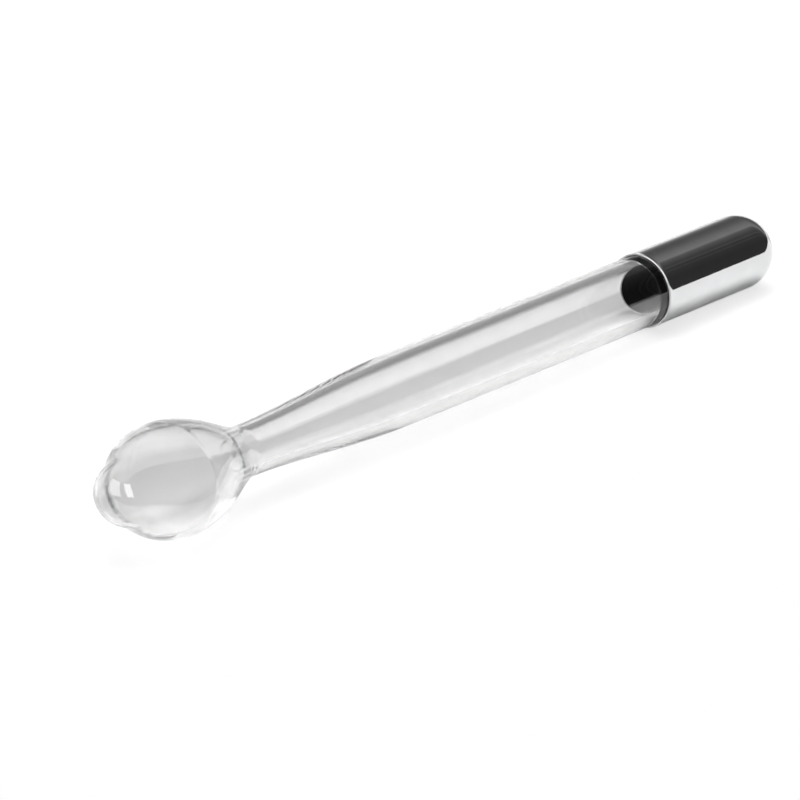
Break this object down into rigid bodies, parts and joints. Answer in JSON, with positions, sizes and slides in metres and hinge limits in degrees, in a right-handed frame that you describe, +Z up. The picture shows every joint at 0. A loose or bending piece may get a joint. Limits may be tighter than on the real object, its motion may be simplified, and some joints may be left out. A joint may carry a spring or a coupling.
{
  "type": "glass high-frequency electrode",
  "caption": "Blown glass applicator electrode with an egg-shaped head, a round nipple at the tip, a tapered neck and a round-ended metal plug cap that fits a handle socket.",
  "frame": {"origin": "on the axis, at the start of the cap's straight wall behind its lip", "axes": "+X along the axis towards the cap's round end, +Z up as it lies on a table"},
  "size_m": [0.1458, 0.0166, 0.0166],
  "materials": {
    "clear_glass": "clear blown glass, gloss",
    "sealing_glass": "fused, gloss",
    "nickel_wire": "drawn, slightly oxidised",
    "nickel_sheet": "satin",
    "basing_cement": "dry and grainy",
    "solder": "dull",
    "spring_bronze": "drawn wire",
    "polished_cap": "polished"
  },
  "bodies": {
    "root": {"glass_envelope": "clear_glass", "sealing_bead": "sealing_glass", "lead_in_wire": "nickel_wire", "inner_electrode": "nickel_sheet", "cement_plug": "basing_cement", "solder_collar": "solder", "contact_spring": "spring_bronze", "metal_cap": "polished_cap"}
  },
  "joints": []
}
